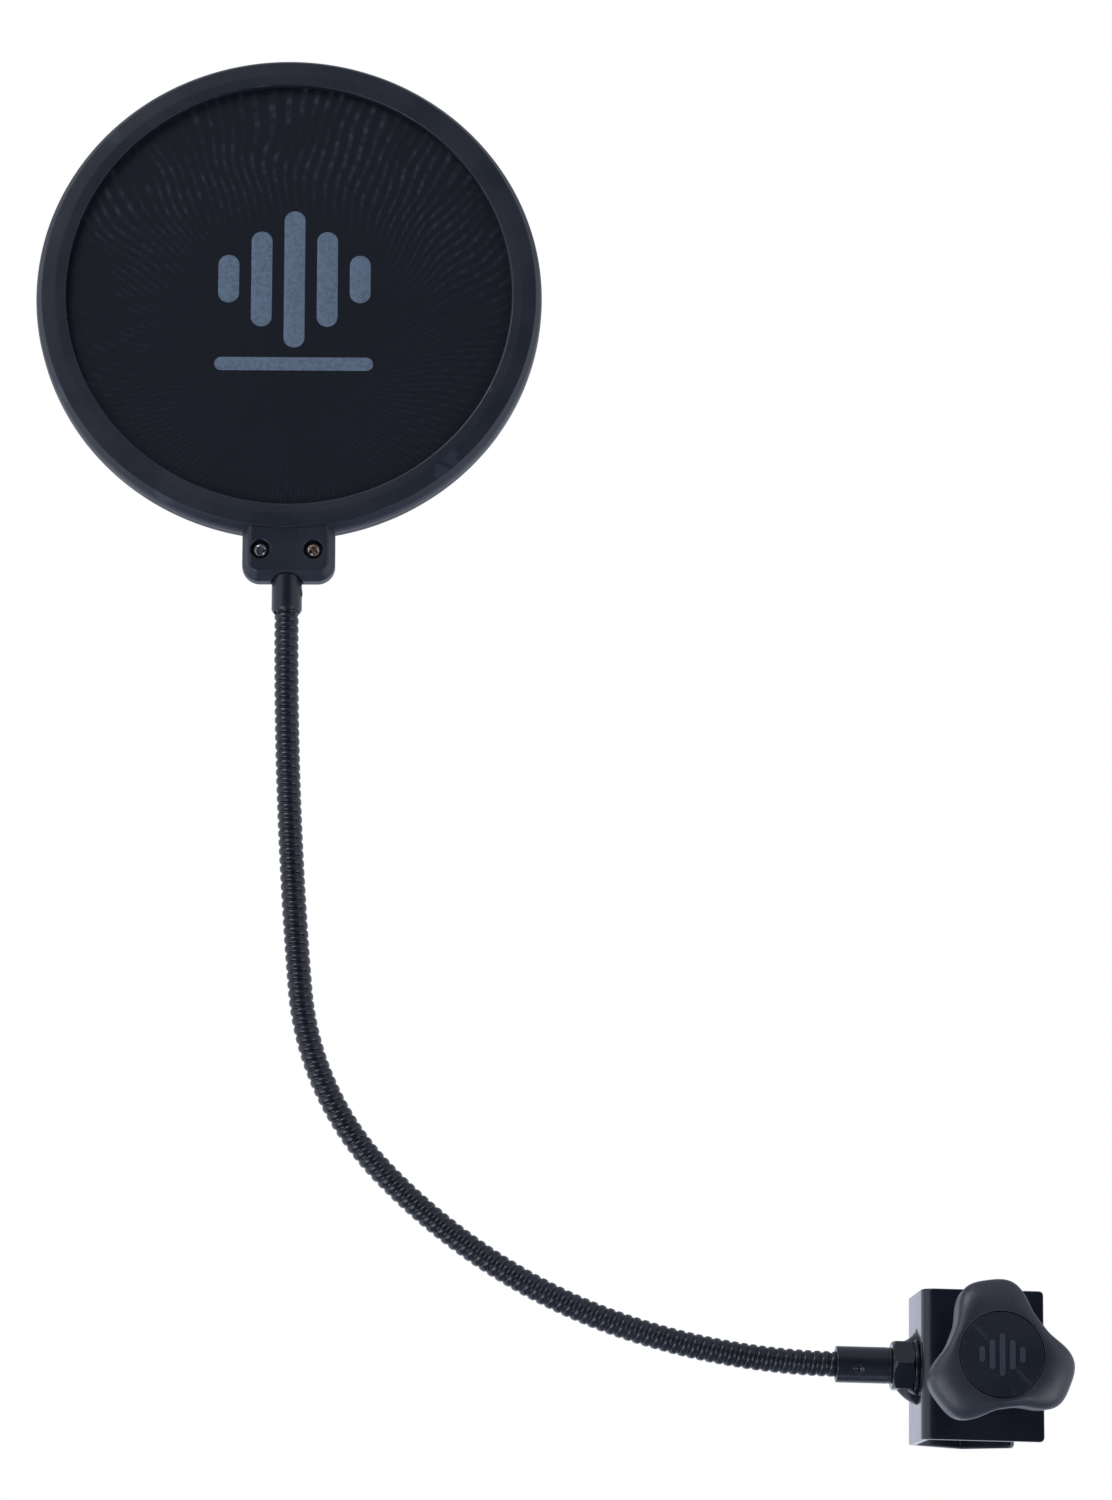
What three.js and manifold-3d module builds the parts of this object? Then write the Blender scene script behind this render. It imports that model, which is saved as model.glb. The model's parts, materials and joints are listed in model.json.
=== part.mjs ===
// Pop filter for a microphone stand: a hoop with two woven screens, a gooseneck, and a steel
// clamp with a three-lobed knob. Millimetres, +Z up along the stand tube that the clamp grips.
// The voice side faces -Y. The origin is on the axis of a 20 mm tube seated in the clamp's jaw,
// at mid-height of the jaw.

import * as THREE from 'three';
import { mergeVertices } from 'three/addons/utils/BufferGeometryUtils.js';
import Module from 'manifold-3d';

const wasm = await Module();
wasm.setup();

const degree = Math.PI / 180;

// Driving dimensions

// Clearance between pieces that rest on each other
const gap = 0.2;

// Clamp bracket: one steel strip bent into a front plate, a side plate and a V-shaped jaw
const plate = 2.4;
const bracketWidth = 35.4;
const bracketHeight = 42.5;
const frontFaceY = -30.2;
const sideEndY = 1.8;
const apexY = 16;
const jawEndX = 13.4;
const bendRadius = 2.3;
const cornerRadius = 2.5;

// Clamp screw (M8), the nut behind the front plate, and the foot at the screw's tip
const screwRadius = 3.95;
const screwHole = 4.3;
const screwNutFlats = 13;
const screwNutThickness = 3.8;
const screwHeadFlats = 13;
const screwHeadHeight = 5.3;
const tipRadius = 2.8;
const tipLength = 3.3;
const padFaceY = -10.4;
const padRadius = 9;
const padThickness = 1.8;
const footRadius = 10;
const footThickness = 2.3;
const footHubRadius = 5.6;
const footHubLength = 2.5;

// Knob: three lobes, a hub behind, and a round cap over the screw's head
const knobFrontY = -67.2;
const knobDepth = 14;
const knobMeanRadius = 18.7;
const knobLobe = 3.87;
const knobLobeFlattening = 0.38;
const knobLobeBroadening = 0.44;
const knobLobeDirection = 98.5;
const knobEdge = 2.2;
const hubRadius = 9;
const hubLength = 7;
const capRadius = 12.1;
const capThickness = 1.7;

// Nut welded to the side plate, and the threaded sleeve of the gooseneck that screws into it
const neckY = -18.2;
const neckNutFlats = 14;
const neckNutThickness = 5.8;
const collarRadius = 7.65;
const collarThickness = 1;
const studRadius = 4.85;
const studHole = 5.1;
const weldInnerRadius = 8.3;
const weldFoot = 11.2;
const weldHeight = 4.6;
const weldEdge = 0.3;
const weldFrontLimit = 2.5;
const lowerFerruleRadius = 5.1;
const ferruleChamfer = 0.5;

// Gooseneck: its bend at rest as arcs that follow each other from the clamp to the hoop
const neckStartX = -42;
const neckRadius = 3.75;
const neckArcs = [
  { radius: 216, turn: 15.8 },
  { radius: 180, turn: 29 },
  { radius: 92, turn: 38.3 },
  { radius: 1335, turn: 5.1 },
];
const neckHinges = 8;
const hingeGap = 2;
const linkEndRadius = 2.2;
const linkStep = 7;
const crimpLength = 9;
const crimpBore = 3.95;

// Hoop: front and rear shells with a screw tab below, around two screens and their spacer
const neckToHoop = 104.2;
const hoopRadius = 80;
const openingRadius = 70.3;
const hoopDepth = 12;
const hoopEdge = 1.1;
const hoopWall = 2.2;
const flange = 2.4;
const screenThickness = 0.5;
const spacerWidth = 6;
const tabWidth = 29.7;
const tabBottom = 95.2;
const tabCorner = 5.5;
const tabEdge = 1.4;

// Tab screws, and the neck's upper ferrule that the tab's two halves trap
const tabScrewSpacing = 16.5;
const tabScrewDrop = 85.1;
const screwHeadRadius = 2.3;
const screwHeadDepth = 1.5;
const screwSink = 0.6;
const screwRecessRadius = 3.05;
const crossSlotWidth = 0.5;
const tabScrewRadius = 1.25;
const tabScrewLength = 8;
const upperFerruleRadius = 4.65;
const upperFerruleLength = 11.5;
const stemRadius = 3.3;
const stemLength = 3.5;
const collarLength = 2.2;

// Materials

const finish = (color, roughness, metalness) =>
  new THREE.MeshStandardMaterial({ color, roughness, metalness });

const shellPlastic = finish(0x23272e, 0.55, 0);
const knobPlastic = finish(0x2b2e35, 0.6, 0);
const screenNylon = finish(0x101116, 0.9, 0);
const paintedSteel = finish(0x1b1d22, 0.3, 0.2);
const neckSteel = finish(0x15161a, 0.22, 0.4);
const plainSteel = finish(0x8f8f92, 0.35, 0.9);
const footRubber = finish(0x17171a, 0.85, 0);

// Geometry helpers

// Closed mesh as a solid that can be joined and cut
function solid(geometry) {
  const bare = geometry.clone();
  bare.deleteAttribute('normal');
  bare.deleteAttribute('uv');
  const merged = mergeVertices(bare, 1e-5);
  const corners = merged.index.array;
  const triangles = [];
  for (let i = 0; i < corners.length; i += 3) {
    const [a, b, c] = corners.slice(i, i + 3);
    if (a !== b && b !== c && c !== a) triangles.push(a, b, c);
  }
  return new wasm.Manifold(new wasm.Mesh({
    numProp: 3,
    vertProperties: new Float32Array(merged.attributes.position.array),
    triVerts: new Uint32Array(triangles),
  }));
}

// Solid as a geometry again
function surface(body) {
  const mesh = body.getMesh();
  const geometry = new THREE.BufferGeometry();
  geometry.setAttribute('position', new THREE.BufferAttribute(mesh.vertProperties, 3));
  geometry.setIndex(new THREE.BufferAttribute(mesh.triVerts, 1));
  geometry.computeVertexNormals();
  return geometry;
}

// Solid of revolution about Y. The points are [radius, y], with the solid on their left.
function turned(points, sides = 32) {
  return new THREE.LatheGeometry(points.map(([r, y]) => new THREE.Vector2(r, y)), sides);
}

// The same for a profile clear of the axis, which closes on its first point
function turnedRing(points, sides = 32) {
  return turned([...points, points[0]], sides);
}

function rod(radius, length, sides = 32) {
  return new THREE.CylinderGeometry(radius, radius, length, sides);
}

// Hexagonal prism along Y with two of its corners on the Z axis
function hexPrism(flats, length) {
  return rod(flats / Math.sqrt(3), length, 6);
}

// Turns a part built along +Y so that it runs along +X or +Z
const alongX = (geometry) => geometry.rotateZ(-Math.PI / 2);
const alongZ = (geometry) => geometry.rotateX(Math.PI / 2);

// Outline in X and Z given a depth about y = 0, with an optional rounded edge on both faces
function slab(shape, depth, edge = 0) {
  return new THREE.ExtrudeGeometry(shape, {
    depth: depth - 2 * edge,
    bevelEnabled: edge > 0,
    bevelSize: edge,
    bevelOffset: -edge,
    bevelThickness: edge,
    bevelSegments: 3,
    curveSegments: 8,
  }).translate(0, 0, edge - depth / 2).rotateX(Math.PI / 2);
}

function named(name, geometry, material) {
  const mesh = new THREE.Mesh(geometry, material);
  mesh.name = name;
  return mesh;
}

// Clamp bracket

// Path through the corners, each inner one rounded to the radius
function rounded(corners, radius, steps = 5) {
  const path = [corners[0]];
  for (let i = 1; i < corners.length - 1; i += 1) {
    const back = corners[i - 1].clone().sub(corners[i]).normalize();
    const ahead = corners[i + 1].clone().sub(corners[i]).normalize();
    const halfAngle = Math.acos(back.dot(ahead)) / 2;
    const setback = radius / Math.tan(halfAngle);
    const toCentre = back.clone().add(ahead).normalize().multiplyScalar(radius / Math.sin(halfAngle));
    const centre = corners[i].clone().add(toCentre);
    const first = back.multiplyScalar(setback).sub(toCentre);
    const last = ahead.multiplyScalar(setback).sub(toCentre);
    const sweep = Math.atan2(first.cross(last), first.dot(last));
    for (let k = 0; k <= steps; k += 1) {
      path.push(first.clone().rotateAround(new THREE.Vector2(), sweep * k / steps).add(centre));
    }
  }
  path.push(corners[corners.length - 1]);
  return path;
}

// Outline of a strip of even thickness about its middle line
function strip(path, thickness) {
  const side = (sign) => path.map((point, i) => {
    const back = path[Math.max(i - 1, 0)];
    const ahead = path[Math.min(i + 1, path.length - 1)];
    const along = ahead.clone().sub(back).normalize();
    const across = new THREE.Vector2(-along.y, along.x).multiplyScalar(sign * thickness / 2);
    return point.clone().add(across);
  });
  return new THREE.Shape([...side(1), ...side(-1).reverse()]);
}

// What the rounded corners at a free right-hand end leave off
function endTrim(endX, depth) {
  const top = bracketHeight / 2;
  const inset = endX - cornerRadius;
  const shape = new THREE.Shape();
  shape.moveTo(inset, -top - 1);
  shape.lineTo(inset, -top);
  shape.absarc(inset, cornerRadius - top, cornerRadius, -Math.PI / 2, 0);
  shape.absarc(inset, top - cornerRadius, cornerRadius, 0, Math.PI / 2);
  shape.lineTo(inset, top + 1);
  shape.lineTo(endX + 1, top + 1);
  shape.lineTo(endX + 1, -top - 1);
  return slab(shape, depth);
}

function bracket() {
  const half = plate / 2;
  const leftX = half - bracketWidth / 2;
  const slope = (apexY - sideEndY) / (bracketWidth / 2);
  const middleApexY = apexY - half * Math.hypot(1, slope);
  const middleLine = rounded([
    new THREE.Vector2(bracketWidth / 2, frontFaceY + half),
    new THREE.Vector2(leftX, frontFaceY + half),
    new THREE.Vector2(leftX, middleApexY + slope * leftX),
    new THREE.Vector2(0, middleApexY),
    new THREE.Vector2(jawEndX, middleApexY - slope * jawEndX),
  ], bendRadius);
  const bent = new THREE.ExtrudeGeometry(strip(middleLine, plate), {
    depth: bracketHeight,
    bevelEnabled: false,
  }).translate(0, 0, -bracketHeight / 2);
  const frontTrim = endTrim(bracketWidth / 2, 3 * plate).translate(0, frontFaceY + half, 0);
  const jawTrim = endTrim(jawEndX, apexY).translate(0, apexY / 2, 0);
  const screwBore = rod(screwHole, 3 * plate).translate(0, frontFaceY, 0);
  const studBore = alongX(rod(studHole, 3 * plate)).translate(leftX, neckY, 0);
  return surface([frontTrim, jawTrim, screwBore, studBore]
    .reduce((body, cut) => body.subtract(solid(cut)), solid(bent)));
}

function nut(flats, thickness, boreRadius) {
  return solid(hexPrism(flats, thickness)).subtract(solid(rod(boreRadius, 2 * thickness)));
}

function screwNut() {
  const middleY = frontFaceY + plate + gap + screwNutThickness / 2;
  return surface(nut(screwNutFlats, screwNutThickness, screwRadius + gap)).translate(0, middleY, 0);
}

// Neck fittings on the side plate

const sideFaceX = -bracketWidth / 2;
const nutOuterX = sideFaceX - gap - collarThickness - neckNutThickness;

function neckNut() {
  const overlap = 0.1;
  const collar = rod(collarRadius, collarThickness + overlap)
    .translate(0, (neckNutThickness + collarThickness - overlap) / 2, 0);
  const body = solid(hexPrism(neckNutFlats, neckNutThickness).rotateY(Math.PI / 2))
    .add(solid(collar))
    .subtract(solid(rod(studRadius + gap, 4 * neckNutThickness)));
  return alongX(surface(body)).translate(nutOuterX + neckNutThickness / 2, neckY, 0);
}

// Concave fillet of weld above, behind and below the nut, open towards the front
function weldBead() {
  const steps = 5;
  const profile = [[weldInnerRadius, -gap]];
  for (let k = 0; k <= steps; k += 1) {
    const angle = (90 * degree * k) / steps;
    profile.push([
      weldFoot - (weldFoot - weldInnerRadius) * Math.cos(angle),
      (weldHeight - weldEdge - gap) * Math.sin(angle) - weldHeight,
    ]);
  }
  profile.push([weldFoot, -gap]);
  const ring = alongX(turnedRing(profile, 40));
  const open = new THREE.BoxGeometry(4 * weldHeight, 2 * weldFoot, 4 * weldFoot)
    .translate(0, -weldFrontLimit - weldFoot, 0);
  return surface(solid(ring).subtract(solid(open))).translate(sideFaceX, neckY, 0);
}

// Crimped sleeve on the gooseneck's end, with the stud that screws into the nut
function lowerFerrule() {
  const stop = crimpLength + 1;
  const sleeveEnd = nutOuterX - gap - neckStartX;
  const studEnd = sideFaceX + plate - neckStartX;
  const profile = [
    [0, stop],
    [crimpBore, stop],
    [crimpBore, 0],
    [lowerFerruleRadius - ferruleChamfer, 0],
    [lowerFerruleRadius, ferruleChamfer],
    [lowerFerruleRadius, sleeveEnd],
    [studRadius, sleeveEnd],
    [studRadius, studEnd - ferruleChamfer],
    [studRadius - ferruleChamfer, studEnd],
    [0, studEnd],
  ];
  return alongX(turned(profile)).translate(neckStartX, neckY, 0);
}

// Gooseneck

// Point on the neck's middle line and its direction there, at a length s from the lower ferrule
function neckAt(s) {
  let x = neckStartX;
  let z = 0;
  let heading = 0;
  let left = s;
  if (s < 0) return { x: neckStartX - s, z, heading };
  for (const { radius, turn } of neckArcs) {
    const swept = Math.min(left / radius, turn * degree);
    x -= radius * (Math.sin(heading + swept) - Math.sin(heading));
    z += radius * (Math.cos(heading) - Math.cos(heading + swept));
    heading += swept;
    left -= swept * radius;
  }
  return { x: x - left * Math.cos(heading), z: z + left * Math.sin(heading), heading };
}

const neckLength = neckArcs.reduce((sum, { radius, turn }) => sum + radius * turn * degree, 0);
const linkLength = neckLength / neckHinges;

// One stretch of the neck between two hinges, bevelled at both ends so that it can tilt
function neckLink(from, to) {
  const bevel = neckRadius - linkEndRadius;
  const rings = Math.max(1, Math.round((to - from - 2 * bevel) / linkStep));
  const profile = [[0, from], [linkEndRadius, from]];
  for (let k = 0; k <= rings; k += 1) {
    profile.push([neckRadius, from + bevel + (to - from - 2 * bevel) * k / rings]);
  }
  profile.push([linkEndRadius, to], [0, to]);
  const geometry = turned(profile, 16);
  const position = geometry.attributes.position;
  for (let i = 0; i < position.count; i += 1) {
    const { x, z, heading } = neckAt(position.getY(i));
    const outward = position.getX(i);
    const back = position.getZ(i);
    position.setXYZ(i, x + outward * Math.sin(heading), neckY - back, z + outward * Math.cos(heading));
  }
  geometry.computeVertexNormals();
  return geometry;
}

// A hinge lies at the middle of each of the equal stretches that the neck is divided into
function neckLinks() {
  const links = [];
  for (let k = 0; k <= neckHinges; k += 1) {
    const from = k === 0 ? -crimpLength : (k - 0.5) * linkLength + hingeGap / 2;
    const to = k === neckHinges ? neckLength + crimpLength : (k + 0.5) * linkLength - hingeGap / 2;
    links.push(named(`neck_link_${k + 1}`, neckLink(from, to), neckSteel));
  }
  return links;
}

// Clamp screw, foot and knob, along Y

const footBackY = padFaceY - padThickness - gap - footThickness;
const screwShoulderY = footBackY - footHubLength - gap;
const screwHeadY = knobFrontY + capThickness + 2 * gap;

function clampScrew() {
  const head = hexPrism(screwHeadFlats, screwHeadHeight)
    .translate(0, screwHeadY + screwHeadHeight / 2, 0);
  const shaft = turned([
    [0, screwHeadY + 1],
    [screwRadius, screwHeadY + 1],
    [screwRadius, screwShoulderY],
    [tipRadius, screwShoulderY],
    [tipRadius, screwShoulderY + tipLength],
    [0, screwShoulderY + tipLength],
  ]);
  return surface(solid(head).add(solid(shaft)));
}

// Steel disc whose hub turns on the screw's tip
function pressureFoot() {
  const socket = tipRadius + gap;
  const socketEnd = screwShoulderY + tipLength + gap;
  return turned([
    [0, socketEnd],
    [socket, socketEnd],
    [socket, footBackY - footHubLength],
    [footHubRadius, footBackY - footHubLength],
    [footHubRadius, footBackY],
    [footRadius, footBackY],
    [footRadius, footBackY + footThickness],
    [0, footBackY + footThickness],
  ]);
}

function footPad() {
  return rod(padRadius, padThickness).translate(0, padFaceY - padThickness / 2, 0);
}

// Radius of the knob's outline at an angle from its first lobe
function knobRadius(angle) {
  return knobMeanRadius + knobLobe * Math.cos(3 * angle)
    - knobLobeFlattening * Math.cos(6 * angle) - knobLobeBroadening * Math.cos(9 * angle);
}

function knob() {
  const sides = 72;
  const outline = [];
  for (let k = 0; k < sides; k += 1) {
    const angle = 2 * Math.PI * k / sides;
    const direction = angle + knobLobeDirection * degree;
    outline.push(new THREE.Vector2(Math.cos(direction), Math.sin(direction))
      .multiplyScalar(knobRadius(angle)));
  }
  const overlap = 1;
  const body = slab(new THREE.Shape(outline), knobDepth, knobEdge)
    .translate(0, knobFrontY + knobDepth / 2, 0);
  const hub = rod(hubRadius, hubLength + overlap)
    .translate(0, knobFrontY + knobDepth + (hubLength - overlap) / 2, 0);
  const recessDepth = capThickness + gap;
  const recess = rod(capRadius + gap, 2 * recessDepth).translate(0, knobFrontY, 0);
  const pocket = hexPrism(screwHeadFlats + 2 * gap, 2 * (screwHeadHeight + recessDepth + 2 * gap))
    .translate(0, knobFrontY, 0);
  const bore = rod(screwRadius + gap, 4 * knobDepth).translate(0, knobFrontY + knobDepth, 0);
  return surface([recess, pocket, bore]
    .reduce((whole, cut) => whole.subtract(solid(cut)), solid(body).add(solid(hub))));
}

function knobCap() {
  return rod(capRadius, capThickness, 48).translate(0, knobFrontY + capThickness / 2, 0);
}

// Hoop, in its own frame: centre of the hoop at the origin, middle of its depth at y = 0

const faceY = hoopDepth / 2;
const screenY = faceY - flange - gap - screenThickness / 2;

// Both shells and the tab before they are parted, with a channel for the screens inside
function wholeHoop() {
  const rim = turnedRing([
    [openingRadius, -faceY],
    [hoopRadius - hoopEdge, -faceY],
    [hoopRadius, hoopEdge - faceY],
    [hoopRadius, faceY - hoopEdge],
    [hoopRadius - hoopEdge, faceY],
    [openingRadius, faceY],
  ], 72);
  const channel = turnedRing([
    [openingRadius - 1, flange - faceY],
    [hoopRadius - hoopWall, flange - faceY],
    [hoopRadius - hoopWall, faceY - flange],
    [openingRadius - 1, faceY - flange],
  ], 72);
  return solid(rim).add(solid(tab())).subtract(solid(channel)).subtract(ferruleChannel());
}

// Screw tab, flush with both faces of the hoop and rounded at its free edges
function tab() {
  const half = tabWidth / 2;
  const insideRim = -(openingRadius + hoopRadius) / 2;
  const cornerZ = tabCorner - tabBottom;
  const shape = new THREE.Shape();
  shape.moveTo(half, insideRim);
  shape.lineTo(-half, insideRim);
  shape.lineTo(-half, cornerZ);
  shape.absarc(tabCorner - half, cornerZ, tabCorner, Math.PI, 1.5 * Math.PI);
  shape.absarc(half - tabCorner, cornerZ, tabCorner, 1.5 * Math.PI, 2 * Math.PI);
  return slab(shape, hoopDepth, tabEdge);
}

const ferruleTop = upperFerruleLength + stemLength + collarLength;

// Stepped channel that holds the upper ferrule by its collar
function ferruleChannel() {
  const mouth = crimpLength - 1;
  return solid(alongZ(turned([
    [0, mouth],
    [upperFerruleRadius + 4 * gap, mouth],
    [upperFerruleRadius + 4 * gap, upperFerruleLength + gap],
    [stemRadius + gap, upperFerruleLength + gap],
    [stemRadius + gap, upperFerruleLength + stemLength - gap],
    [upperFerruleRadius + gap, upperFerruleLength + stemLength - gap],
    [upperFerruleRadius + gap, ferruleTop + gap],
    [0, ferruleTop + gap],
  ])).translate(0, 0, -neckToHoop));
}

// One half of the hoop, on the side of y that the sign gives
function shell(side) {
  const recessDepth = screwSink + screwHeadDepth + gap;
  const holeDepth = recessDepth + tabScrewLength + gap;
  const half = new THREE.BoxGeometry(3 * hoopRadius, hoopDepth, 3 * hoopRadius)
    .translate(0, side * (hoopDepth + gap) / 2, 0);
  let body = wholeHoop().intersect(solid(half));
  for (const x of [-tabScrewSpacing / 2, tabScrewSpacing / 2]) {
    const recess = rod(screwRecessRadius, 2 * recessDepth, 24).translate(x, -faceY, -tabScrewDrop);
    const hole = rod(tabScrewRadius + gap, 2 * holeDepth, 16).translate(x, -faceY, -tabScrewDrop);
    body = body.subtract(solid(recess)).subtract(solid(hole));
  }
  return surface(body);
}

function screen(side) {
  return rod(hoopRadius - hoopWall - 2 * gap, screenThickness, 72).translate(0, side * screenY, 0);
}

// Ring that holds the two screens apart and presses them against the flanges
function spacer() {
  const outer = hoopRadius - hoopWall - 2 * gap;
  const inner = outer - spacerWidth;
  const halfLength = screenY - screenThickness / 2 - gap;
  return turnedRing([
    [inner, -halfLength],
    [outer, -halfLength],
    [outer, halfLength],
    [inner, halfLength],
  ], 72);
}

// Pan-head screw with a cross recess, its head towards the front
function tabScrew() {
  const crownRadius = 0.6 * screwHeadRadius;
  const crownDepth = 0.45 * screwHeadDepth;
  const head = turned([
    [0, 0],
    [crownRadius, 0],
    [screwHeadRadius, crownDepth],
    [screwHeadRadius, screwHeadDepth],
    [tabScrewRadius, screwHeadDepth],
    [tabScrewRadius, screwHeadDepth + tabScrewLength - tabScrewRadius],
    [0, screwHeadDepth + tabScrewLength],
  ], 24);
  const slot = new THREE.BoxGeometry(screwHeadRadius, screwHeadDepth, crossSlotWidth);
  const crossSlot = slot.clone().rotateY(Math.PI / 2);
  return surface(solid(head).subtract(solid(slot)).subtract(solid(crossSlot)));
}

function tabScrewAt(name, x) {
  const screw = named(name, tabScrew(), plainSteel);
  screw.position.set(x, screwSink - faceY, -tabScrewDrop);
  return screw;
}

// Crimped sleeve on the gooseneck's upper end, with a stem and collar inside the tab
function upperFerrule() {
  const stop = crimpLength + 1;
  return alongZ(turned([
    [0, stop],
    [crimpBore, stop],
    [crimpBore, 0],
    [upperFerruleRadius - ferruleChamfer, 0],
    [upperFerruleRadius, ferruleChamfer],
    [upperFerruleRadius, upperFerruleLength],
    [stemRadius, upperFerruleLength],
    [stemRadius, upperFerruleLength + stemLength],
    [upperFerruleRadius, upperFerruleLength + stemLength],
    [upperFerruleRadius, ferruleTop],
    [0, ferruleTop],
  ])).translate(0, 0, -neckToHoop);
}

// Assembly

const clamp = new THREE.Group();
clamp.add(
  named('bracket', bracket(), paintedSteel),
  named('screw_nut', screwNut(), plainSteel),
  named('neck_nut', neckNut(), paintedSteel),
  named('weld_bead', weldBead(), paintedSteel),
  named('lower_ferrule', lowerFerrule(), neckSteel),
);

const screwSet = new THREE.Group();
screwSet.add(
  named('clamp_screw', clampScrew(), plainSteel),
  named('knob', knob(), knobPlastic),
  named('knob_cap', knobCap(), knobPlastic),
  named('pressure_foot', pressureFoot(), plainSteel),
  named('foot_pad', footPad(), footRubber),
);

const hoop = new THREE.Group();
const neckTop = neckAt(neckLength + neckToHoop);
hoop.position.set(neckTop.x, neckY, neckTop.z);
hoop.rotation.y = neckTop.heading - 90 * degree;
hoop.add(
  named('front_ring', shell(-1), shellPlastic),
  named('rear_ring', shell(1), shellPlastic),
  named('front_screen', screen(-1), screenNylon),
  named('rear_screen', screen(1), screenNylon),
  named('screen_spacer', spacer(), shellPlastic),
  tabScrewAt('tab_screw_left', -tabScrewSpacing / 2),
  tabScrewAt('tab_screw_right', tabScrewSpacing / 2),
  named('upper_ferrule', upperFerrule(), neckSteel),
);

const popFilter = new THREE.Group();
popFilter.add(clamp, screwSet, ...neckLinks(), hoop);

export default popFilter;
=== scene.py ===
"""Looks of a pop filter on a gooseneck with its stand clamp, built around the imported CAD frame.

Meshes are made in millimetres in the frame's own axes and stored in metres.
"""

import json
import math

import bmesh
import bpy
import numpy as np
from mathutils import Matrix, Vector


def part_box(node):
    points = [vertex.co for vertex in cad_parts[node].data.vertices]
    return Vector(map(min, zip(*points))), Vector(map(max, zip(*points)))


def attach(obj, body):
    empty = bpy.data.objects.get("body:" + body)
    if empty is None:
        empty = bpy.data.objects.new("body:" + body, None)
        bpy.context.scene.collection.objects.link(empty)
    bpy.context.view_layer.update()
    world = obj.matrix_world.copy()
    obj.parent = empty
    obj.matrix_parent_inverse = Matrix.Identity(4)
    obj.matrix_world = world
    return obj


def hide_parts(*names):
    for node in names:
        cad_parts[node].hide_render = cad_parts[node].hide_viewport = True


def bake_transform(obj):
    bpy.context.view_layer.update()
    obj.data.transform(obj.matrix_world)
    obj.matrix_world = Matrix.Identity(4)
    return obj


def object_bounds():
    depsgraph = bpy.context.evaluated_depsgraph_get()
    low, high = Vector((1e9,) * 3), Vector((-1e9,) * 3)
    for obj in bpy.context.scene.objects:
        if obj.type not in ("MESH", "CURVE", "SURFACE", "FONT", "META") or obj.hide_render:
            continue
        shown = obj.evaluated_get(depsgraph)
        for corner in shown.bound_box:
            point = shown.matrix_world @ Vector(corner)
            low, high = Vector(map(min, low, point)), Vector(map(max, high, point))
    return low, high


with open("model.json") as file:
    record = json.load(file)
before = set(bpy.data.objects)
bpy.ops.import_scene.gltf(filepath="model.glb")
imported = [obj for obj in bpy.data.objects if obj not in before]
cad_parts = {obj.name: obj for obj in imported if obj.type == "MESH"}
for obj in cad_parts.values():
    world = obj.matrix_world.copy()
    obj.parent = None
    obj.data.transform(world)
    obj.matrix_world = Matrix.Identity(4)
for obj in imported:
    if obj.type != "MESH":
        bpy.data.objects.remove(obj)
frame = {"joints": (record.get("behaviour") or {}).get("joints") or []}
cad_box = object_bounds()

MM = 0.001
TURN = 2 * math.pi

# Rotations that lay local Z along the frame's X, back along +Y, or forward along -Y
ALONG_X = Matrix.Rotation(math.pi / 2, 4, "Y")
TO_BACK = Matrix.Rotation(-math.pi / 2, 4, "X")
TO_FRONT = Matrix.Rotation(math.pi / 2, 4, "X")


# The frame, in millimetres


def node_box(*nodes):
    """Lowest and highest corner of the CAD nodes together."""
    corners = np.array([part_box(node) for node in nodes]) / MM
    return corners[:, 0].min(axis=0), corners[:, 1].max(axis=0)


def middle(*nodes):
    """Centre of the CAD nodes' common box."""
    low, high = node_box(*nodes)
    return (low + high) / 2


# Gooseneck: where it starts, and its rest curve as (radius, degrees turned) arcs
NECK_START = np.array((node_box("lower_ferrule")[0][0], *middle("lower_ferrule")[1:]))
NECK_ARCS = ((216, 15.8), (180, 29), (92, 38.3), (1335, 5.1))
NECK_LENGTH = sum(radius * math.radians(turn) for radius, turn in NECK_ARCS)
NECK_HINGES = 8
NECK_RADIUS = 3.78

# Hoop: its centre, its lean, and a matrix from its own axes to the frame's
HOOP_CENTRE = middle("front_screen", "rear_screen")
HOOP_LEAN = math.radians(sum(turn for _, turn in NECK_ARCS) - 90)
HOOP = Matrix.Translation(HOOP_CENTRE) @ Matrix.Rotation(HOOP_LEAN, 4, "Y")
HOOP_RADIUS = 80
OPENING_RADIUS = 70.3
FACE = 6
FLANGE = 2.4
WALL = 2.2
SEAM = 0.12
SCREEN_RADIUS = 77.4
SCREEN_DEPTH = 3.15
SCREEN_THICKNESS = 0.3

# Screw tab below the hoop
TAB_HALF_WIDTH = 14.45
TAB_SHIFT = 0.5
TAB_TOP = -74
TAB_BOTTOM = -94.6
TAB_CORNER = 5.5
TAB_EDGE = 2.25
TAB_DRAFT = 3.6
TAB_FACE = 5.45
TAB_SCREW_X = 8.25
TAB_SCREW_Z = -85.1
TAB_SCREW_DEPTH = 1.25
FERRULE_MOUTH_Z = -104.2
FERRULE_COLLAR_RADIUS = 4.65


def neck_at(s):
    """X, Z and heading of the gooseneck's middle line at lengths s past the lower ferrule."""
    left = np.array(s, float)
    heading = np.zeros_like(left)
    x = np.full_like(left, NECK_START[0])
    z = np.full_like(left, NECK_START[2])
    for radius, turn in NECK_ARCS:
        swept = np.clip(left / radius, 0, math.radians(turn))
        x -= radius * (np.sin(heading + swept) - np.sin(heading))
        z += radius * (np.cos(heading) - np.cos(heading + swept))
        heading += swept
        left -= swept * radius
    return x - left * np.cos(heading), z + left * np.sin(heading), heading


# Outlines and skins


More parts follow.
